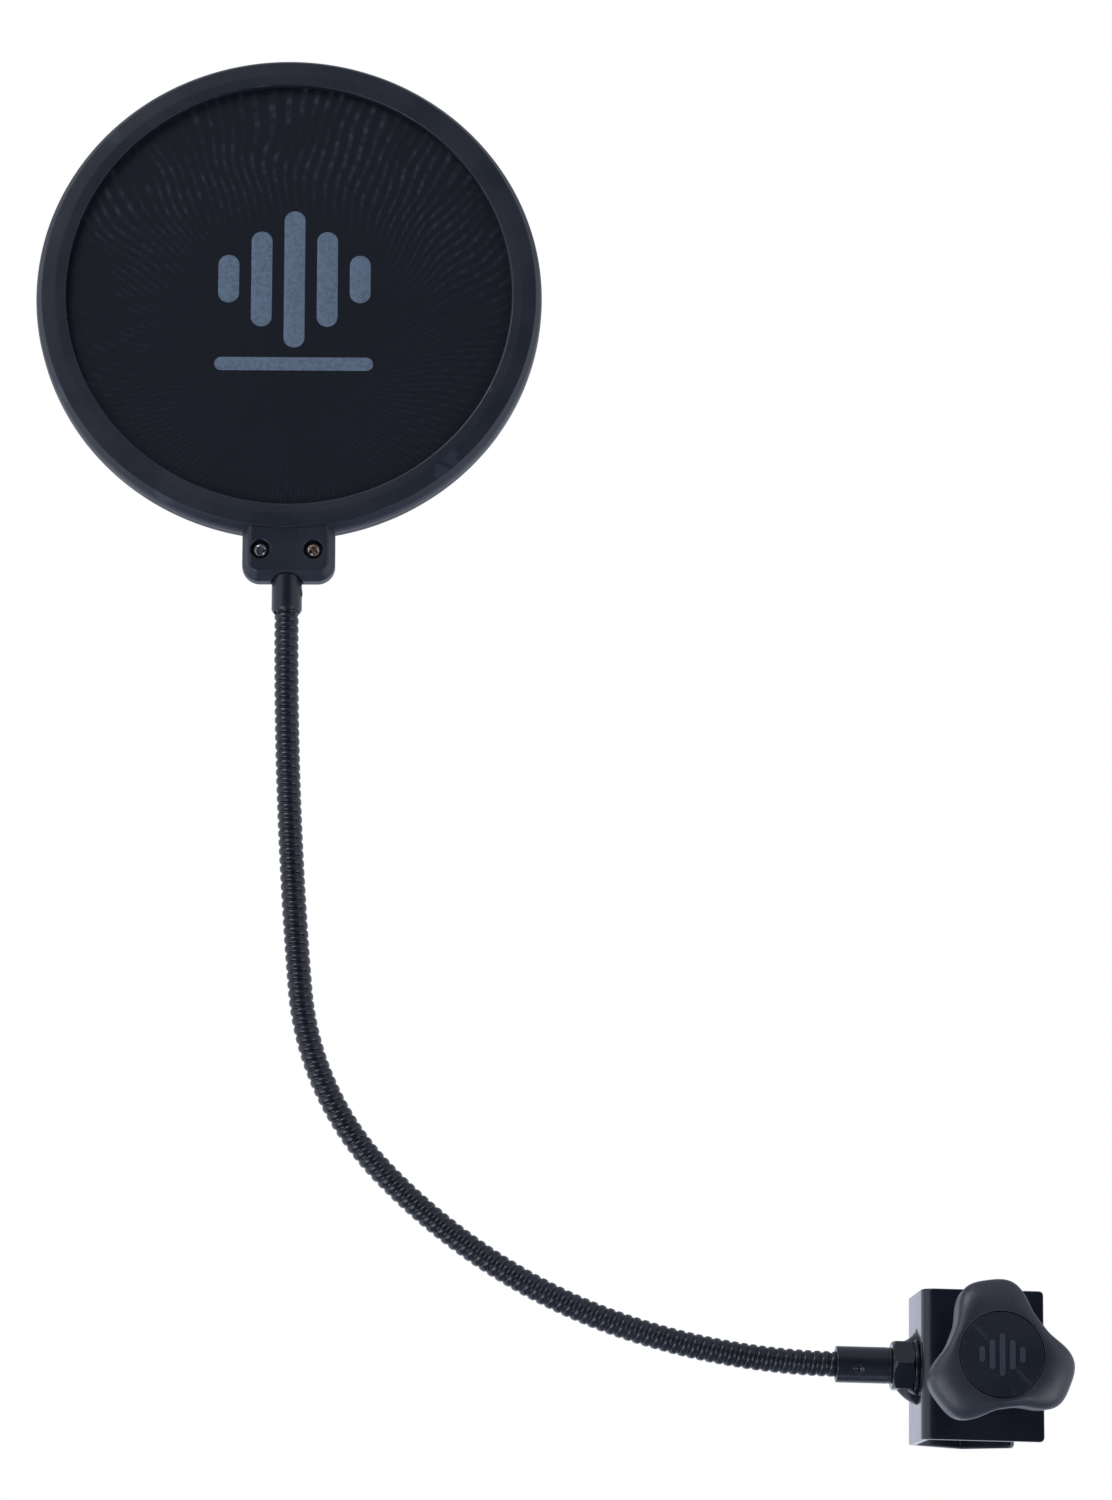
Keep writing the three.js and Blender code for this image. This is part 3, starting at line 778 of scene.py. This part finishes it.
def neck_pieces():
    """One stretch of both wires for each hinge, wound in the rest curve, in place of the CAD links it covers.
    """
    joints = [j for j in frame["joints"] if j["name"].startswith("neck_")]
    stretch = NECK_LENGTH / NECK_HINGES
    for i, joint in enumerate(joints):
        ends = (i * stretch, (i + 1) * stretch)
        last = i == NECK_HINGES - 1
        low = ends[0] - (FERRULE_OVERLAP if i == 0 else 0)
        high = ends[1] + (FERRULE_OVERLAP if last else 0)
        points, faces = coil(round_wire(), low, high)
        wedge_points, wedge_faces = coil(wedge_wire(), low, high)
        faces += [tuple(len(points) + j for j in face) for face in wedge_faces]
        wires = mesh_object(f"neck_coil_{i + 1}", np.concatenate([points, wedge_points]), faces)
        dressed(wires, NECK, sharp=50, even=False)
        x, z, _ = neck_at(np.array(ends))
        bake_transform(wires)
        links = [f"neck_link_{i + 1}"]
        if last:
            links.append(f"neck_link_{i + 2}")
        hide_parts(*links)


NUT_REACH = 0.8
FERRULE_SIDES = 180
LOWER_SLEEVE_RADIUS = 5.35
UPPER_SLEEVE_RADIUS = 4.72
SLEEVE_STEP = 0.18


def lower_ferrule():
    """Crimped sleeve with a lip at the nut, a punch mark, and a threaded stud."""
    low, high = node_box("lower_ferrule")
    nut_x = node_box("neck_nut")[0][0] - NUT_REACH - 0.15 - low[0]
    end = high[0] - low[0]
    sleeve = dense(softened([
        (3.95, 6, 0),
        (3.95, 0, 0.25),
        (LOWER_SLEEVE_RADIUS, 0, 0.3),
        (LOWER_SLEEVE_RADIUS, nut_x - 1.0, 0.06),
        (5.15, nut_x - 0.95, 0.03),
        (5.15, nut_x - 0.75, 0.03),
        (LOWER_SLEEVE_RADIUS, nut_x - 0.7, 0.06),
        (LOWER_SLEEVE_RADIUS, nut_x, 0.1),
        (4.3, nut_x, 0),
    ], steps=3), SLEEVE_STEP)
    rings = dented(turned(sleeve, FERRULE_SIDES), 6.4, math.radians(-72), 1.15, 0.55)
    thread = thread_rings(4.85, 1.0, nut_x + 0.2, end - 0.5, sides=FERRULE_SIDES)
    tip = turned([(3.9, end)], FERRULE_SIDES)
    place = Matrix.Translation((low[0], NECK_START[1], NECK_START[2])) @ ALONG_X
    thing = mesh_object("lower_sleeve", *skin(np.concatenate([rings, thread, tip])), place)
    onto(dressed(thing, NECK), "clamp", "lower_ferrule")


def upper_ferrule():
    """Crimped sleeve with a chamfered rim and a punch mark, held in the tab by its collar."""
    profile = dense(softened([
        (3.95, 6, 0),
        (3.95, 0, 0.25),
        (4.2, 0, 0.15),
        (UPPER_SLEEVE_RADIUS, 0.8, 0.3),
        (UPPER_SLEEVE_RADIUS, 11.5, 0.2),
        (3.3, 11.5, 0),
        (3.3, 15, 0),
        (FERRULE_COLLAR_RADIUS, 15, 0.2),
        (FERRULE_COLLAR_RADIUS, 17.2, 0.2),
        (1.5, 17.2, 0),
    ], steps=3), SLEEVE_STEP)
    rings = dented(turned(profile, FERRULE_SIDES), 6.0, math.radians(-14), 0.95, 0.7)
    place = HOOP @ Matrix.Translation((0, 0, FERRULE_MOUTH_Z))
    thing = mesh_object("upper_sleeve", *skin(rings), place)
    onto(dressed(thing, NECK), "head", "upper_ferrule")


# Clamp


def neck_nut():
    """Hexagon nut with a corner to the front and a round collar behind it, next to the side plate."""
    low, high = node_box("neck_nut")
    length = high[0] - low[0] + NUT_REACH
    flats, sides, bore = 14, 180, 5.0
    hexed = hexagon(flats, sides)
    hex_end = length - 1.35
    outer = [(t, flats / 2 * 0.97 + t * math.tan(math.radians(50))) for t in np.linspace(0, 1.1, 10)]
    inner = [(t, flats / 2 * 1.02 + t * math.tan(math.radians(60))) for t in np.linspace(0.6, 0, 6)]
    rings = [ring_of(bore, 0.35, sides), ring_of(bore + 0.35, 0, sides)]
    rings += [ring_of(np.minimum(hexed, r), t, sides) for t, r in outer]
    rings += [ring_of(np.minimum(hexed, r), hex_end - t, sides) for t, r in inner]
    profile = softened([
        (6.7, hex_end, 0),
        (6.7, hex_end + 0.35, 0),
        (7.65, hex_end + 0.35, 0.25),
        (7.65, length, 0.15),
        (bore, length, 0),
    ])
    rings += [ring_of(r, h, sides) for r, h in profile]
    place = Matrix.Translation((low[0] - NUT_REACH, NECK_START[1], NECK_START[2])) @ ALONG_X
    thing = mesh_object("neck_nut_hex", *skin(np.array(rings), wrap=True), place)
    onto(dressed(thing, PAINT, sharp=24), "clamp", "neck_nut")


def weld_bead():
    """Uneven fillet of weld on the back half of the nut, hollow above it and bulging below."""
    high = node_box("weld_bead")[1]
    reach = math.radians(104)
    nut_radius = 7.05
    rings = []
    for a in np.linspace(-reach, reach, 141):
        fade = max(1 - (a / reach) ** 6, 0.02) ** 0.6
        lump = 1 + 0.08 * math.sin(5.3 * a + 1) + 0.04 * math.sin(13 * a)
        hollow = 0.15 + 0.55 * math.sin(a)
        climb = 5.9 * fade * lump
        foot = 4.8 * fade * (1 + 0.06 * math.sin(9 * a + 2))
        flank = []
        for t in np.linspace(0, math.pi / 2, 12):
            straight = t / (math.pi / 2)
            out = hollow * (1 - math.cos(t)) + (1 - hollow) * straight
            up = hollow * (1 - math.sin(t)) + (1 - hollow) * (1 - straight)
            flank.append((nut_radius + foot * out, climb * up + 0.03))
        section = [(6.6, -0.15), (6.6, climb)] + flank + [(nut_radius + foot, -0.15)]
        rings.append([(-h, r * math.cos(a), r * math.sin(a)) for r, h in section])
    place = Matrix.Translation((high[0] + 0.1, NECK_START[1], NECK_START[2]))
    thing = mesh_object("weld_fillet", *skin(np.array(rings)), place)
    onto(dressed(thing, PAINT, sharp=50), "clamp", "weld_bead")


# Bracket. The jaw's reach is from the tube's axis, at the origin, to the inner face of each wing.
PLATE = 2.4
PLATE_EDGE = 0.42
END_CORNER = 1.3
BEND = 2.8
APEX_BEND = 2.3
JAW_REACH = 10.08
JAW_SLOPE = 0.80226
JAW_END_X = 14.1
EXTRA_HEIGHT = 0.7
EXTRA_WIDTH = 0.5
SCREW_HOLE = 4.3
STUD_HOLE = 5.1


def bracket():
    """Bent strip: front plate, side plate and V jaw, with rounded edges and free corners."""
    low, high = node_box("bracket")
    half = PLATE / 2
    apex = (JAW_REACH + half) * math.hypot(1, JAW_SLOPE)
    path = softened([
        (high[0] + EXTRA_WIDTH, low[1] + half, 0),
        (low[0] + half, low[1] + half, BEND),
        (low[0] + half, apex + JAW_SLOPE * (low[0] + half), BEND),
        (0, apex, APEX_BEND),
        (JAW_END_X, apex - JAW_SLOPE * JAW_END_X, 0),
    ], steps=10)
    path = np.array(dense(path, 3))
    lengths = np.concatenate([[0], np.cumsum(np.linalg.norm(np.diff(path, axis=0), axis=1))])
    total = lengths[-1]
    near_end = np.array([0, 0.05, 0.15, 0.3, 0.5, 0.75, 1.0, END_CORNER])
    stations = np.unique(np.concatenate([near_end, total - near_end,
                                         lengths[(lengths > END_CORNER) & (lengths < total - END_CORNER)]]))
    rings = [bracket_section(path, lengths, s, min(s, total - s), high[2] + EXTRA_HEIGHT) for s in stations]
    thing = mesh_object("bracket_strip", *skin(np.array(rings)))
    holes = []
    for radius, place in (
        (SCREW_HOLE, Matrix.Translation((0, low[1], 0)) @ TO_BACK),
        (STUD_HOLE, Matrix.Translation((low[0], NECK_START[1], 0)) @ ALONG_X),
    ):
        holes.append(mesh_object("hole", *skin(turned([(radius, -3), (radius, 6)], 64)), place))
    combined(thing, "DIFFERENCE", *holes)
    onto(dressed(thing, PAINT, sharp=30), "clamp", "bracket")


def bracket_section(path, lengths, s, from_end, half_height):
    """Rounded cross-section of the strip at a length s along its middle line."""
    x, y = (np.interp(s, lengths, path[:, k]) for k in (0, 1))
    i = np.clip(np.searchsorted(lengths, s) - 1, 0, len(path) - 2)
    here = (path[i + 1] - path[i]) / np.linalg.norm(path[i + 1] - path[i])
    j = min(i + 1, len(path) - 2)
    ahead = (path[j + 1] - path[j]) / np.linalg.norm(path[j + 1] - path[j])
    share = (s - lengths[i]) / (lengths[i + 1] - lengths[i])
    along = here * (1 - share) + ahead * share if share > 0.99 else here
    across = np.array((-along[1], along[0])) / np.linalg.norm(along)
    corner = END_CORNER - min(from_end, END_CORNER)
    top = half_height - END_CORNER + math.sqrt(END_CORNER**2 - corner**2)
    rim = PLATE_EDGE - min(from_end, PLATE_EDGE)
    thin = PLATE_EDGE - math.sqrt(PLATE_EDGE**2 - rim**2)
    half = PLATE / 2 - thin
    outline = softened([
        (-half, -top, PLATE_EDGE), (half, -top, PLATE_EDGE),
        (half, top, PLATE_EDGE), (-half, top, PLATE_EDGE),
    ], steps=4, closed=True)
    return [(x + across[0] * t, y + across[1] * t, z) for t, z in outline]


# Knob. The outline's radius is a mean, three lobes, and two terms that flatten and broaden them.
KNOB_RADIUS = 18.7
LOBE_HEIGHT = 3.87
LOBE_FLATTENING = 0.38
LOBE_BROADENING = 0.44
LOBE_DIRECTION = math.radians(98.5)
KNOB_DEPTH = 14
KNOB_ROLL = 5.4
KNOB_BACK_EDGE = 1.1
CAP_WELL_RADIUS = 12.3
CAP_WELL_DEPTH = 1.9
CAP_RADIUS = 12.05
KNOB_BORE = 4.2


def knob_outline(sides):
    """Radius of the three-lobed outline at each angle from the frame's X axis."""
    angle = around(sides) - LOBE_DIRECTION
    lobes = LOBE_HEIGHT * np.cos(3 * angle)
    return KNOB_RADIUS + lobes - LOBE_FLATTENING * np.cos(6 * angle) - LOBE_BROADENING * np.cos(9 * angle)


def knob():
    """Three-lobed knob with a slightly domed front, a hub behind and a well for the cap."""
    low, high = node_box("knob")
    front, hub_back, sides = low[1], high[1], 240
    outline = knob_outline(sides)
    back = front + KNOB_DEPTH
    lip = CAP_WELL_RADIUS + 0.35
    reach = outline - lip
    roll = KNOB_ROLL * (reach / reach.max()) ** 0.7

    rings = []
    for r, y in softened([(KNOB_BORE, hub_back, 0), (9, hub_back, 0.7), (9, back, 0.8), (11.5, back, 0)]):
        rings.append(ring_of(r, y, sides))
    for t in np.linspace(0, math.pi / 2, 6):
        inset = KNOB_BACK_EDGE * (1 - math.sin(t)) + 0.35
        rings.append(ring_of(outline - inset, back - KNOB_BACK_EDGE * (1 - math.cos(t)), sides))
    for share in 1 - np.linspace(0, 0.97, 26) ** 2:
        fall = 1 - (1 - share**1.75) ** (1 / 2.2)
        rings.append(ring_of(lip + reach * share, front + roll * fall, sides))
    for r, y in softened([
        (lip, front, 0),
        (CAP_WELL_RADIUS, front, 0.15),
        (CAP_WELL_RADIUS, front + CAP_WELL_DEPTH, 0.1),
        (KNOB_BORE, front + CAP_WELL_DEPTH, 0),
    ]):
        rings.append(ring_of(r, y, sides))
    points, faces = skin(np.array(rings), wrap=True)
    points = np.stack([points[:, 0], points[:, 2], points[:, 1]], axis=1)
    thing = mesh_object("knob_body", points, faces)
    onto(dressed(thing, KNOB), "knob", "knob")


def knob_cap():
    """Round cap flush in the knob, with a generic row of level bars embossed on it."""
    low, high = node_box("knob_cap")
    back = high[1] - low[1]
    profile = softened([
        (0.5, 0.04, 0), (6, 0, 8), (CAP_RADIUS, 0, 0.18), (CAP_RADIUS, back, 0.1), (0.5, back, 0),
    ])
    place = Matrix.Translation((0, low[1], 0)) @ TO_BACK
    cap = mesh_object("cap_disc", *skin(turned(profile, 128)), place)
    onto(dressed(cap, CAP), "knob", "knob_cap")
    mark = level_bars("cap_mark", (4.5, 8.5, 12, 8.5, 4.5), 1.7, 2.9, 0.3, Matrix.Translation((0, low[1], 0)))
    onto(dressed(mark, KNOB, even=False), "knob")


SCREW_RADIUS = 3.95
SCREW_PITCH = 1.25
SCREW_HEAD = 5.3
SCREW_TIP = 3.3
SCREW_TIP_RADIUS = 2.8
HEX_FLATS = 13


def clamp_screw():
    """M8 screw: hexagon head in the knob, threaded shaft, plain tip in the foot."""
    low, high = node_box("clamp_screw")
    end = high[1] - low[1]
    shoulder, sides = end - SCREW_TIP, 72
    head = [ring_of(hexagon(HEX_FLATS, sides), h, sides) for h in (0, SCREW_HEAD)]
    thread = thread_rings(SCREW_RADIUS, SCREW_PITCH, SCREW_HEAD + 0.1, shoulder, sides=sides)
    tip = turned(softened([
        (SCREW_TIP_RADIUS, shoulder + 0.05, 0), (SCREW_TIP_RADIUS, shoulder + SCREW_TIP, 0.4),
        (0.4, shoulder + SCREW_TIP, 0),
    ]), sides)
    place = Matrix.Translation((0, low[1], 0)) @ TO_BACK
    thing = mesh_object("screw_thread", *skin(np.concatenate([head, thread, tip])), place)
    onto(dressed(thing, STEEL, sharp=40, even=False), "knob", "clamp_screw")


def screw_nut():
    """Hexagon nut on the inside of the front plate."""
    low, high = node_box("screw_nut")
    rings = nut_rings(HEX_FLATS, 4.15, 0, high[1] - low[1])
    place = Matrix.Translation((0, low[1], 0)) @ TO_BACK
    thing = mesh_object("plate_nut", *skin(rings, wrap=True), place)
    onto(dressed(thing, STEEL, sharp=24), "clamp", "screw_nut")


def foot():
    """Swivel foot and its ribbed rubber pad."""
    low, high = node_box("pressure_foot")
    hub, reach = 2.5, high[1] - low[1]
    profile = softened([
        (0.4, 3.5, 0), (3.0, 3.5, 0), (3.0, 0, 0.3), (5.6, 0, 0.6), (5.6, hub, 0.9),
        (10, hub, 0.5), (10, reach, 0.5), (0.4, reach, 0),
    ])
    place = Matrix.Translation((0, low[1], 0)) @ TO_BACK
    disc = mesh_object("foot_disc", *skin(turned(profile, 96)), place)
    onto(dressed(disc, STEEL), "foot", "pressure_foot")

    low, high = node_box("foot_pad")
    face = high[1] - low[1]
    corners = [(0.3, 0, 0), (9, 0, 0.3), (9, face, 0.45)]
    for r in np.arange(8.0, 1.0, -1.2):
        groove = ((0, 0), (0.25, 0.3), (0.45, 0.3), (0.7, 0))
        corners += [(r - inwards, face - sunk, 0.1) for inwards, sunk in groove]
    corners.append((0.3, face, 0))
    place = Matrix.Translation((0, low[1], 0)) @ TO_BACK
    pad = mesh_object("foot_rubber_pad", *skin(turned(softened(corners, steps=2), 96)), place)
    onto(dressed(pad, RUBBER), "foot", "foot_pad")


# Stage


SOFTBOX_COLOR = (0.93, 0.96, 1.0)
PAPER_COLORS = (0.84, 0.845, 0.85), (0.87, 0.875, 0.88)


def stage():
    """Pale floor well below the object, soft studio world and softboxes, and the camera."""
    floor_z, floor_radius = -900, 3600
    rings = turned([(floor_radius, floor_z - 2), (floor_radius, floor_z)], 96)
    floor = mesh_object("floor", *skin(rings))
    nodes = Nodes("floor_paper")
    fibre = nodes.noise(0.01, detail=3)
    paper = nodes.mix(nodes.spread(fibre, 0, 1), *PAPER_COLORS)
    floor.data.materials.append(nodes.finish(paper, 0.8))
    floor.visible_glossy = False
    floor.visible_diffuse = False
    studio_world()
    softbox("softbox_upper_left", (-700, -600, 900), (450, 450), 3.0)
    softbox("softbox_low_left", (-820, -760, -480), (750, 550), 4.0)
    softbox("softbox_low_right", (720, -800, -480), (600, 550), 3.0)
    below = softbox("softbox_below", (-140, 60, -620), (900, 500), 8.0)
    below.visible_glossy = False
    camera()


def studio_world():
    """White behind, beside and above the object, dark in front of it and below. The camera sees white."""
    world = bpy.data.worlds.new("studio")
    bpy.context.scene.world = world
    world.use_nodes = True
    nodes = Nodes("studio_directions", tree=world.node_tree)
    split = nodes.add("ShaderNodeSeparateXYZ", Vector=nodes.add("ShaderNodeTexCoord").outputs["Generated"])
    beside = nodes.math("MULTIPLY_ADD", nodes.math("ABSOLUTE", split.outputs["X"]), 0.93, split.outputs["Y"])
    turned_away = nodes.math("MULTIPLY_ADD", split.outputs["Z"], 1.05, beside)
    upwards = nodes.spread(split.outputs["Z"], 0, 1, 0.1, 0.7)
    bright = nodes.mix(upwards, (0.82, 0.87, 1.02), (0.42, 0.45, 0.54))
    lit = nodes.mix(nodes.spread(turned_away, 0, 1, -0.35, 0.35), (0.045, 0.058, 0.1), bright)
    seen = nodes.mix(nodes.add("ShaderNodeLightPath").outputs["Is Camera Ray"], lit, (1, 1, 1))
    nodes.feed(world.node_tree.nodes["Background"].inputs["Color"], seen)


def softbox(name, position, size, power):
    """Rectangular area light that faces the middle of the object."""
    light = bpy.data.lights.new(name, "AREA")
    light.shape = "RECTANGLE"
    light.size, light.size_y = (side * MM for side in size)
    light.energy = power
    light.color = SOFTBOX_COLOR
    lamp = bpy.data.objects.new(name, light)
    bpy.context.scene.collection.objects.link(lamp)
    lamp.location = Vector(position) * MM
    target = (cad_box[0] + cad_box[1]) / 2
    lamp.rotation_euler = (target - lamp.location).to_track_quat("-Z", "Y").to_euler()
    return lamp


def camera():
    """Long lens a little below the object, looking up at it."""
    azimuth, elevation, roll = (math.radians(a) for a in (-1.86, -14.16, 1.39))
    distance, aim_offset = 1109.9, Vector((8.27, 1.91, -10.95))
    aim = (cad_box[0] + cad_box[1]) / 2 + aim_offset * MM
    back = Vector((math.sin(azimuth) * math.cos(elevation), -math.cos(azimuth) * math.cos(elevation),
                   math.sin(elevation)))
    data = bpy.data.cameras.new("camera")
    data.sensor_width = 36
    data.lens = 86.8
    data.clip_end = 20
    eye = bpy.data.objects.new("camera", data)
    bpy.context.scene.collection.objects.link(eye)
    eye.rotation_mode = "QUATERNION"
    eye.rotation_quaternion = (-back).to_track_quat("-Z", "Y") @ Matrix.Rotation(roll, 4, "Z").to_quaternion()
    eye.location = aim + back * distance * MM
    bpy.context.scene.camera = eye
    bpy.context.scene.view_settings.view_transform = "Standard"


stage()
hoop_pieces()
upper_ferrule()
neck_pieces()
lower_ferrule()
neck_nut()
weld_bead()
bracket()
clamp_screw()
screw_nut()
foot()
knob()
knob_cap()
